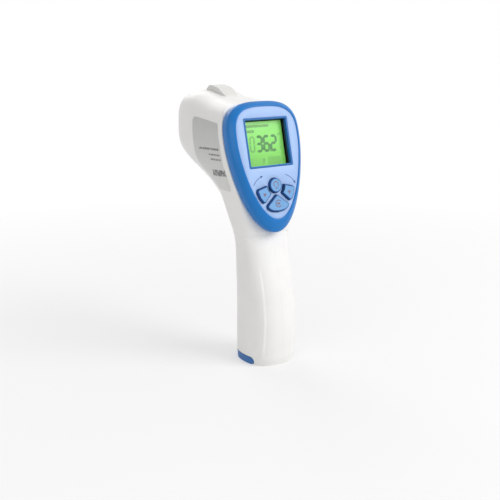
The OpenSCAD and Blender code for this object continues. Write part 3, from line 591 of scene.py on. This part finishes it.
dark = []
for ch, x in (("3", -3.2), ("6", 1.3), ("2", 5.8)):
    dark += figure(ch, x, -3.9)
dark.append(ring_pts(3.6, -4.1, 0.5, 16))
segment_dark = Finish("segment_dark", (0.06, 0.26, 0.06), 0.35)
segment_dark.speckle(500, 2, (0.055, 0.22, 0.05), (0.075, 0.27, 0.06))
finish_piece(join_prisms("lcd_figures", dark, LCD_H, LCD_H + 0.05), segment_dark.mat, "housing", ["lcd_segments"],
             38)
faint_loops = figure("0", -7.7, -3.9, 2.4, 7.4, 0.9)
faint_loops += [round_rect(9.4, 3.9, 0.5, 1.2, 0.1), round_rect(10.2, 4.4, 1.2, 0.45, 0.1),
                round_rect(9.9, -2.9, 0.5, 1.8, 0.1),
                round_rect(-1.9, -9.2, 0.9, 2.9, 0.3), round_rect(-1.2, -8.4, 0.6, 1.2, 0.2)]
segment_faint = Finish("segment_faint", (0.20, 0.60, 0.13), 0.35)
segment_faint.speckle(500, 2, (0.135, 0.43, 0.075), (0.16, 0.48, 0.09))
finish_piece(join_prisms("lcd_unlit_figures", faint_loops, LCD_H, LCD_H + 0.04), segment_faint.mat, "housing", (),
             38)

lens = prism(round_rect(0, 0, WINDOW_W + 0.9, WINDOW_H + 0.9, 0.5), "p", LCD_H + 0.12, LCD_H + 0.7)
clear = Finish("lens_clear", (0.96, 0.98, 0.97), 0.04, Transmission_Weight=1.0, IOR=1.2)
clear.set("Roughness", clear.remap(clear.noise(220, 3), 0.4, 0.7, 0.03, 0.07))
finish_piece(lens, clear.mat, "housing", ["window_lens"], 38)

# ---------------------------------------------------------------- keys
# Blue silicone caps standing out of the face, their side walls coloured a much darker blue as painted shade so the top
# reads paler.
# A skirt under the plate keeps each one in, and a short stem reaches the switch on the board.
KEY_PROUD = 1.15
key_top = moulded("key_blue_top", (0.15, 0.34, 0.63), 0.5, 1.2, 0.05, Specular_IOR_Level=0.35)
key_side_shade = moulded("key_blue_side_painted_shade", (0.006, 0.065, 0.24), 0.5, 1.0, 0.04, Specular_IOR_Level=0.35)
key_mark = moulded("key_mark_ink", (0.17, 0.13, 0.19), 0.5, 0.4, 0.06)
STEMS = {"round_key": KEY_MID, "left_key": (-7.8, -27.0), "right_key": (7.8, -27.0), "bottom_key": (0, -32.6)}


def arc_strip(cx, cy, r, w, a0, a1, n=14):
    """Curved stroke of width w as an outline."""
    ang = [math.radians(a0 + (a1 - a0) * i / n) for i in range(n + 1)]
    return [(cx + (r + w / 2) * math.cos(a), cy + (r + w / 2) * math.sin(a)) for a in ang] + \
           [(cx + (r - w / 2) * math.cos(a), cy + (r - w / 2) * math.sin(a)) for a in reversed(ang)]


for key, loop in KEYS.items():
    levels = [(-0.2, -3.2), (0.5, -3.2), (0.5, -2.42), (-0.2, -2.42), (-0.2, -1.3), (0, -1.2),
              (0, KEY_PROUD - 0.6), (-0.07, KEY_PROUD - 0.36),
              (-0.22, KEY_PROUD - 0.15), (-0.42, KEY_PROUD - 0.03), (-0.6, KEY_PROUD), (-0.66, KEY_PROUD)]
    rings = [[tuple(on_panel(p[0], p[1], h)) for p in offset_loop(loop, d)] for d, h in levels]
    cap = skin(key + "_cap", rings)
    su, sv = STEMS[key]
    combine(cap, prism(round_rect(su, sv, 1.5, 1.5, 0.2, 3), "p", -5.1, -3.1), "UNION")
    finish_piece(cap, [key_top.mat, key_side_shade.mat], key, [key], 60)
    # Top faces take the pale blue, and all side faces take the dark blue of the painted shade.
    for p in cap.data.polygons:
        c = np.array(p.center) / MM - np.array([0, GRIP_AXIS_Y, 0]) - PANEL_O
        p.material_index = 0 if c @ PANEL_N > KEY_PROUD - 0.002 else 1
    mark = {
        "round_key": [arc_strip(KEY_MID[0], KEY_MID[1] + 0.5, 1.4, 0.52, -45, 225),
                      round_rect(KEY_MID[0], KEY_MID[1] - 1.1, 1.5, 0.42, 0.15),
                      round_rect(KEY_MID[0], KEY_MID[1] - 1.8, 0.9, 0.42, 0.15)],
        "left_key": [rounded_loop([(-9.0, -26.0), (-7.8, -28.0), (-6.6, -26.0)], 0.3)],
        "right_key": [rounded_loop([(6.6, -26.0), (7.8, -28.0), (9.0, -26.0)], 0.3)],
        "bottom_key": [arc_strip(0, -32.0, 1.75, 0.52, 35, 325),
                       rounded_loop([(-1.0, -32.6), (-0.7, -31.4), (0.7, -31.4), (1.0, -32.6)], 0.35)],
    }[key]
    finish_piece(join_prisms(key + "_mark", mark, KEY_PROUD - 0.02, KEY_PROUD + 0.03), key_mark.mat, key, (),
                 38)

# ---------------------------------------------------------------- printing on the face
# Two thin curved arrows in dark blue ink, one on each side above the keys.
# They stand three hundredths of a millimetre off the plate, as a printed film does.
ink_blue = moulded("print_blue", (0.05, 0.10, 0.28), 0.5, 0.3, 0.06)
arrows = []
for s, (cx, cy, r, a0, a1) in ((1, (-4.9, -26.6, 9.6, 148, 108)), (-1, (4.9, -26.6, 9.6, 72, 32))):
    arrows.append(arc_strip(cx, cy, r, 0.34, a0, a1))
    a = math.radians(a1)
    tip, back = np.array([cx + r * math.cos(a), cy + r * math.sin(a)]), np.array([math.sin(a), -math.cos(a)])
    side = np.array([-back[1], back[0]])
    arrows.append([tuple(tip + back * 1.5), tuple(tip - back * 0.2 + side * 0.75),
                   tuple(tip - back * 0.2 - side * 0.75)])
finish_piece(join_prisms("face_arrows", arrows, FACE_H - 0.02, FACE_H + 0.03), ink_blue.mat, "housing", ["face_print"],
             38)

# ---------------------------------------------------------------- ridge on the head
# Moulded block let into the top of the shells, with sloped ends and rounded edges. It is coloured a pale grey, a little
# darker than the white shells, as painted shade.
ridge_grey = moulded("ridge_grey", (0.70, 0.70, 0.68), 0.40, 1.0, 0.03)
profile = [(RIDGE_Y[0], RIDGE_BASE[0]), (RIDGE_Y[1], RIDGE_BASE[1]),
           (RIDGE_Y[1], RIDGE_BASE[1] + 0.9), (RIDGE_Y[1] - 1, RIDGE_BASE[1] + 1.8),
           (RIDGE_Y[1] - 3.6, 144.9), (RIDGE_Y[1] - 5.2, 145.2), (RIDGE_Y[0] + 8.6, 144.4), (RIDGE_Y[0] + 6.2, 143.7),
           (RIDGE_Y[0] + 2.4, RIDGE_BASE[0] + 2.6), (RIDGE_Y[0], RIDGE_BASE[0] + 1.4)]
ridge = prism(profile, "x", -RIDGE_W / 2, RIDGE_W / 2)
seen_from_above = round_rect(0, sum(RIDGE_Y) / 2, RIDGE_W, RIDGE_Y[1] - RIDGE_Y[0], 1.3)
combine(ridge, prism(seen_from_above, "z", 130, 150), "INTERSECT")
smooth_bevel(ridge, 0.7, 4, 20)
finish_piece(ridge, ridge_grey.mat, "housing", ["top_ridge"], 50)

# ---------------------------------------------------------------- side label
# Grey printed film stuck on the left side of the head. In place of wording it has bars that noise
# breaks up, so they look like lines of print from afar and spell nothing.
LABEL = rounded_loop([(40.6, 129.6), (40.0, 119.4), (38.2, 109.2), (35.4, 104.9), (30.3, 102), (22, 97.6),
                      (14.5, 94.0), (5.0, 93.2), (5.0, 96.0), (9.9, 106.5),
                      (13.2, 119.6), (15.3, 127.6)], [2.2, 6, 4, 4, 6, 6, 5, 0.8, 1.4, 10, 10, 1.6])
FILM = 0.12
label = skin("label", [body_ring(t, -FILM, OUTER_ANGLES) for t in SKIN_T if 2 <= t <= 9.5])
combine(label, prism(LABEL, "x", -40, -8), "INTERSECT")
under = [[(min(p[0], -0.02), p[1], p[2]) for p in body_ring(t, 0.001, OUTER_ANGLES)] for t in SKIN_T if 1.5 <= t <= 10]
combine(label, skin("under", under), "DIFFERENCE")
film = Finish("label_grey", (0.42, 0.43, 0.43), 0.42)
ly, lz = film.axis("Y") * 1000 - GRIP_AXIS_Y, film.axis("Z") * 1000
tone = film.mix(film.remap(lz, 98, 128, 0, 1), (0.66, 0.66, 0.65), (0.49, 0.50, 0.49))
tone = film.mix(film.remap(film.noise(55, 4, 0.6), 0.35, 0.65, 0, 0.2), tone, (0.58, 0.58, 0.57))
bars = None
for y0, y1, z0, z1, dens in [(13.2, 33.6, 113.4, 114.5, 0.85), (12.2, 23.2, 110.6, 111.5, 0.75),
                             (11.4, 21.0, 108.2, 109.1, 0.75), (7.4, 19.6, 100.2, 103.4, 0.8)]:
    slope = (ly - 20) * -0.05
    m = band(film, ly, y0, y1, 0.2) * band(film, lz - slope, z0, z1, 0.12) * dens
    bars = m if bars is None else bars + m
in_mm = film.node("Mapping", None, {0: film.where(), 3: (1000.0, 1000.0, 500.0)})
words = film.remap(film.noise(1.4, 1, 0.5, in_mm), 0.40, 0.48, 0.15, 1.0)
film.set("Base Color", film.mix(bars * words, tone, (0.045, 0.045, 0.05)))
film.set("Roughness", film.remap(film.noise(300, 3), 0.3, 0.7, 0.36, 0.48))
film.bump(film.noise(2600, 2), 0.06, 0.00005)
finish_piece(label, film.mat, "housing", ["side_label"], 38)

# ---------------------------------------------------------------- trigger
# Blue moulded trigger in a slot below the head, hollowed for the finger, with a flange behind the
# shells and a stem that reaches into the switch.
z0, z1 = TRIGGER_Z
front = [(14.6 - 1.1 * math.sin(math.pi * i / 16), z0 + 0.4 + (z1 - z0 - 0.8) * i / 16) for i in range(17)]
profile = [(8.6, z0), (13.6, z0)] + front + [(13.8, z1), (8.6, z1)]
pull = prism(profile, "x", -TRIGGER_W / 2, TRIGGER_W / 2)
smooth_bevel(pull, 0.7, 4, 30)
combine(pull, prism(round_rect(0, (z0 + z1) / 2, TRIGGER_W + 3, z1 - z0 + 2, 0.8), "y", 7.1, 8.7), "UNION")
combine(pull, prism(round_rect(0, 69.4, 2.8, 2.8, 0.3), "y", 3.9, 7.2), "UNION")
trigger_blue = moulded("trigger_blue", (0.012, 0.15, 0.46), 0.34, 0.8, 0.04)
finish_piece(pull, trigger_blue.mat, "trigger", ["trigger"], 40)

# ---------------------------------------------------------------- battery door
# Blue cap that closes the foot of the grip and wraps up its sides. It turns on a steel pin through
# two lugs of the shells, and carries the brass bridge that joins the two cells.
door = []
for t in [x for x in SKIN_T if x >= 13.5]:
    half = body_ring(t, 0, OUTER_ANGLES)
    door.append(half + [(-p[0], p[1], p[2]) for p in reversed(half[1:-1])])
door = skin("door", door)
side_view = [(HINGE_Y, -0.5), (30, -0.5), (30, DOOR_H), (HINGE_Y, DOOR_H)]
side_view += [(HINGE_Y + HINGE_R * math.cos(a), HINGE_Z + HINGE_R * math.sin(a))
              for a in [math.radians(93 + 174 * i / 24) for i in range(25)]]
combine(door, prism(side_view, "x", -30, 30), "INTERSECT")
pocket = []
for t in (14.3, 15):
    half = body_ring(t, 2.0, INNER_ANGLES)
    ring = half + [(-p[0], p[1], p[2]) for p in reversed(half[1:-1])]
    pocket.append([(p[0], p[1], 2.0 if t == 15 else 12.0) for p in ring])
pocket = skin("pocket", pocket)
combine(pocket, prism(round_rect(0, 30 + HINGE_Y + HINGE_R + 0.9, 60, 60, 0.1, 2), "z", 1, 14), "INTERSECT")
combine(door, pocket, "DIFFERENCE")
for s in (-1, 1):
    combine(door, prism(round_rect(s * 9.2, HINGE_Y - 0.275, 2.7, 5.45, 0.1, 2), "z", -3, 8), "DIFFERENCE")
combine(door, prism(ring_pts(HINGE_Y, HINGE_Z, 1.05, 40), "x", -12.6, 30), "DIFFERENCE")
door_blue = moulded("door_blue", (0.025, 0.14, 0.40), 0.40, 1.0, 0.04)
finish_piece(door, door_blue.mat, "battery_door", ["battery_door"], 34)

# ---------------------------------------------------------------- nose
# Blue ring pressed into the nose, with a polished cone, the sensor in its black holder and a dark
# coated window behind. They keep their CAD shapes.


def restyle(node, finish):
    """A CAD node that keeps its shape gets its own finish."""
    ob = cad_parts[node]
    ob.data.materials.clear()
    ob.data.materials.append(finish.mat)


def metal(name, color, roughness):
    """Plated or rolled metal with fine drawn lines and uneven gloss."""
    f = Finish(name, color, roughness, Metallic=1.0)
    lines = f.noise(900, 3, 0.6, f.node("Mapping", None, {0: f.where(), 3: (1.0, 1.0, 0.06)}))
    f.set("Roughness", f.remap(lines, 0.3, 0.7, roughness - 0.06, roughness + 0.10))
    f.speckle(240, 4, tuple(c * 0.92 for c in color), color)
    f.bump(lines, 0.05, 0.00004)
    return f


cone_metal = metal("cone_metal", (0.80, 0.80, 0.78), 0.16)
can_metal = metal("can_metal", (0.75, 0.60, 0.28), 0.25)
holder_black = moulded("holder_black", (0.018, 0.019, 0.022), 0.45, 1.2, 0.1)
filter_dark = Finish("filter_dark", (0.05, 0.06, 0.08), 0.08, Coat_Weight=0.6)
filter_dark.speckle(300, 2, (0.04, 0.05, 0.08), (0.07, 0.06, 0.09))
restyle("nose_ring", rim_blue)
restyle("reflector_cone", cone_metal)
restyle("sensor_holder", holder_black)
restyle("thermopile", can_metal)
restyle("sensor_filter", filter_dark)
restyle("sensor_gasket", gasket_black)

# ---------------------------------------------------------------- circuit boards
# Green glass-epoxy boards with the controller, small parts, buzzer and key switches on them.
board = Finish("board_green", (0.02, 0.16, 0.06), 0.30, Coat_Weight=0.4)
tracks = board.node("TexVoronoi", {"feature": "DISTANCE_TO_EDGE"}, {"Vector": board.where(), "Scale": 420.0})
board.set("Base Color", board.mix(board.remap(tracks, 0.05, 0.09, 1, 0), (0.015, 0.13, 0.05), (0.03, 0.24, 0.09)))
board.bump(board.remap(tracks, 0.05, 0.09, 1, 0), 0.2, 0.00004)
chip_black = moulded("chip_black", (0.02, 0.02, 0.023), 0.5, 1.4, 0.1)
part_tan = moulded("part_tan", (0.48, 0.40, 0.25), 0.4, 0.8, 0.15)
diffuser = moulded("diffuser_white", (0.80, 0.82, 0.78), 0.5, 0.6, 0.02)
strip_pink = moulded("strip_pink", (0.62, 0.30, 0.36), 0.6, 1.0, 0.12)
steel = metal("plated_steel", (0.60, 0.61, 0.63), 0.26)
for node, f in {"main_board": board, "sensor_board": board, "trigger_board": board,
                "main_chip": chip_black, "buzzer": chip_black,
                "key_switches": chip_black, "trigger_switch": chip_black,
                "board_parts": part_tan, "backlight": diffuser,
                "contact_strips": strip_pink, "board_screws": steel, "trigger_screws": steel}.items():
    restyle(node, f)

# ---------------------------------------------------------------- battery bay
# Grey moulded bay held by ribs, two AAA cells with printed sleeves, brass contacts, steel springs and
# rubber-covered leads.
bay_grey = moulded("bay_grey", (0.55, 0.56, 0.57), 0.45, 1.0, 0.04)
sleeve = Finish("cell_sleeve", (0.05, 0.14, 0.38), 0.28, Metallic=0.5)
cz = sleeve.axis("Z") * 1000
sleeve.set("Base Color", sleeve.mix(band(sleeve, cz, 36.0, 42.0, 0.1), (0.04, 0.12, 0.36), (0.70, 0.55, 0.22)))
sleeve.set("Roughness", sleeve.remap(sleeve.noise(260, 3), 0.3, 0.7, 0.22, 0.34))
brass = metal("contact_brass", (0.78, 0.62, 0.30), 0.28)
lead_red = moulded("lead_red", (0.45, 0.02, 0.02), 0.5, 0.8, 0.06)
lead_black = moulded("lead_black", (0.015, 0.015, 0.016), 0.5, 0.8, 0.1)
for node, f in {"battery_box": bay_grey, "battery_cells": sleeve, "cell_contacts": brass, "door_contact": brass,
                "cell_springs": steel,
                "hinge_pin": steel, "sensor_leads": lead_red, "battery_leads": lead_black}.items():
    restyle(node, f)

# ---------------------------------------------------------------- housing screws
# Four equal cross-recess screws of plated steel, sunk in the right shell. Each threads into a boss
# of the left one.
tree = bpy.data.node_groups.new("screw_set", "GeometryNodeTree")
face = tree.interface
face.new_socket("Geometry", in_out="INPUT", socket_type="NodeSocketGeometry")
for label_text, value in (("Shank Radius", 0.83), ("Head Radius", 1.9), ("Head Height", 1.6), ("Shank Length", 12.0),
                          ("Recess Width", 0.6)):
    s = face.new_socket(label_text, in_out="INPUT", socket_type="NodeSocketFloat")
    s.default_value = value * MM
face.new_socket("Material", in_out="INPUT", socket_type="NodeSocketMaterial")
face.new_socket("Geometry", in_out="OUTPUT", socket_type="NodeSocketGeometry")


def geo(kind, settings=None, sockets=None):
    n = tree.nodes.new(kind)
    for k, v in (settings or {}).items():
        setattr(n, k, v)
    for k, v in (sockets or {}).items():
        if hasattr(v, "is_output"):
            tree.links.new(v, n.inputs[k])
        else:
            n.inputs[k].default_value = v
    return n


gi = tree.nodes.new("NodeGroupInput")
go = tree.nodes.new("NodeGroupOutput")
head = geo("GeometryNodeMeshCylinder", None,
           {"Vertices": 48, "Radius": gi.outputs["Head Radius"], "Depth": gi.outputs["Head Height"]})
shank = geo("GeometryNodeMeshCylinder", None,
            {"Vertices": 24, "Radius": gi.outputs["Shank Radius"], "Depth": gi.outputs["Shank Length"]})
half_h = geo("ShaderNodeMath", {"operation": "MULTIPLY"}, {0: gi.outputs["Head Height"], 1: 0.5})
up = geo("ShaderNodeCombineXYZ", None, {"Z": half_h.outputs[0]})
head_at = geo("GeometryNodeTransform", None, {"Geometry": head.outputs["Mesh"], "Translation": up.outputs[0]})
half_l = geo("ShaderNodeMath", {"operation": "MULTIPLY"}, {0: gi.outputs["Shank Length"], 1: -0.5})
down = geo("ShaderNodeCombineXYZ", None, {"Z": half_l.outputs[0]})
shank_at = geo("GeometryNodeTransform", None, {"Geometry": shank.outputs["Mesh"], "Translation": down.outputs[0]})
arm = geo("ShaderNodeMath", {"operation": "MULTIPLY"}, {0: gi.outputs["Head Radius"], 1: 1.3})
size_a = geo("ShaderNodeCombineXYZ", None,
             {"X": arm.outputs[0], "Y": gi.outputs["Recess Width"], "Z": gi.outputs["Head Height"]})
size_b = geo("ShaderNodeCombineXYZ", None,
             {"Y": arm.outputs[0], "X": gi.outputs["Recess Width"], "Z": gi.outputs["Head Height"]})
rise = geo("ShaderNodeCombineXYZ", None, {"Z": gi.outputs["Head Height"]})
slots = []
for size in (size_a, size_b):
    cube = geo("GeometryNodeMeshCube", None, {"Size": size.outputs[0]})
    slots.append(geo("GeometryNodeTransform", None, {"Geometry": cube.outputs["Mesh"], "Translation": rise.outputs[0]}))
cut = geo("GeometryNodeMeshBoolean", {"operation": "DIFFERENCE"}, {"Mesh 1": head_at.outputs[0]})
for s in slots:
    tree.links.new(s.outputs[0], cut.inputs["Mesh 2"])
join = geo("GeometryNodeJoinGeometry")
tree.links.new(cut.outputs[0], join.inputs[0])
tree.links.new(shank_at.outputs[0], join.inputs[0])
inst = geo("GeometryNodeInstanceOnPoints", None,
           {"Points": gi.outputs["Geometry"], "Instance": join.outputs[0], "Rotation": (0.0, math.pi / 2, 0.0)})
real = geo("GeometryNodeRealizeInstances", None, {"Geometry": inst.outputs[0]})
mat_in = geo("GeometryNodeSetMaterial", None, {"Geometry": real.outputs[0], "Material": gi.outputs["Material"]})
tree.links.new(mat_in.outputs[0], go.inputs[0])
me = bpy.data.meshes.new("screw_points")
me.from_pydata([(6 * MM, (y + GRIP_AXIS_Y) * MM, z * MM) for y, z in SCREW_AT], [], [])
screws = bpy.data.objects.new("housing_screw_set", me)
bpy.context.collection.objects.link(screws)
mod = screws.modifiers.new("screws", "NODES")
mod.node_group = tree
for item in face.items_tree:
    if getattr(item, "in_out", "") == "INPUT" and item.name == "Material":
        mod[item.identifier] = steel.mat
done = bpy.data.meshes.new_from_object(screws.evaluated_get(bpy.context.evaluated_depsgraph_get()))
screws.modifiers.clear()
screws.data = done
finish_piece(screws, None, "housing", ["housing_screws"], 38)

# ---------------------------------------------------------------- studio
# Plain pale floor and white surroundings. A broad lamp stands at the front right, with weaker ones on
# the left and behind.
bpy.ops.mesh.primitive_plane_add(size=6, location=(0, 0, 0))
floor = bpy.context.object
floor.name = "studio_floor"
paper = Finish("floor_paper", (0.80, 0.80, 0.80), 0.7)
paper.set("Base Color", paper.mix(paper.noise(8, 2), (0.80, 0.80, 0.80), (0.82, 0.82, 0.82)))


def direct_sight(nodes):
    """1 for what the camera sees itself, in a mirror or through glass."""
    camera, mirror, glass_ray = (nodes.node("LightPath", out="Is %s Ray" % k)
                                 for k in ("Camera", "Glossy", "Transmission"))
    return camera.math("MAXIMUM", mirror).math("MAXIMUM", glass_ray)


far = paper.node("VectorMath", {"operation": "LENGTH"}, {0: paper.where()}, out=1)
seen = direct_sight(paper)
glow = paper.node("Emission", None, {"Color": (1.0, 1.0, 1.0, 1.0), "Strength": 1.0})
both = paper.node("MixShader", None, {0: seen * paper.remap(far, 0.05, 0.45, 0.45, 1.0),
                                      1: Value(paper, paper.shader.outputs[0]), 2: glow})
paper.tree.links.new(both.out, paper.tree.nodes["Material Output"].inputs["Surface"])
floor.data.materials.append(paper.mat)
world = bpy.data.worlds.new("studio")
bpy.context.scene.world = world
sky = Shading(world)
soft = sky.node("Background", None, {"Color": (1.0, 0.99, 0.975, 1.0), "Strength": 0.52})
white = sky.node("Background", None, {"Color": (1.0, 1.0, 1.0, 1.0), "Strength": 1.0})
both = sky.node("MixShader", None, {0: direct_sight(sky), 1: soft, 2: white})
sky.tree.links.new(both.out, sky.tree.nodes["World Output"].inputs["Surface"])


def lamp(name, at, height, power):
    """Square lamp 0.5 m wide, turned towards a point above the middle of the floor."""
    d = bpy.data.lights.new(name, "AREA")
    d.shape, d.size, d.energy = "SQUARE", 0.5, power
    o = bpy.data.objects.new(name, d)
    o.location = at
    o.rotation_euler = (Vector((0, 0, height)) - Vector(at)).to_track_quat("-Z", "Y").to_euler()
    bpy.context.collection.objects.link(o)


lamp("key_lamp", (0.41, -0.58, 0.60), 0.08, 5.1)
lamp("fill_lamp", (-0.7, -0.35, 0.35), 0.08, 1.1)
lamp("back_lamp", (0.1, 0.7, 0.6), 0.1, 1.6)

cam = bpy.data.cameras.new("camera")
cam.lens, cam.sensor_width, cam.clip_start = 58.6, 36.0, 0.01
cam_ob = bpy.data.objects.new("camera", cam)
bpy.context.collection.objects.link(cam_ob)
cam_ob.location = (-0.2487, -0.36347, 0.1694)
cam_ob.rotation_euler = (math.radians(90 - 14.5), 0, math.radians(-35))
bpy.context.scene.camera = cam_ob
bpy.context.scene.view_settings.view_transform = "Standard"

bpy.context.view_layer.update()
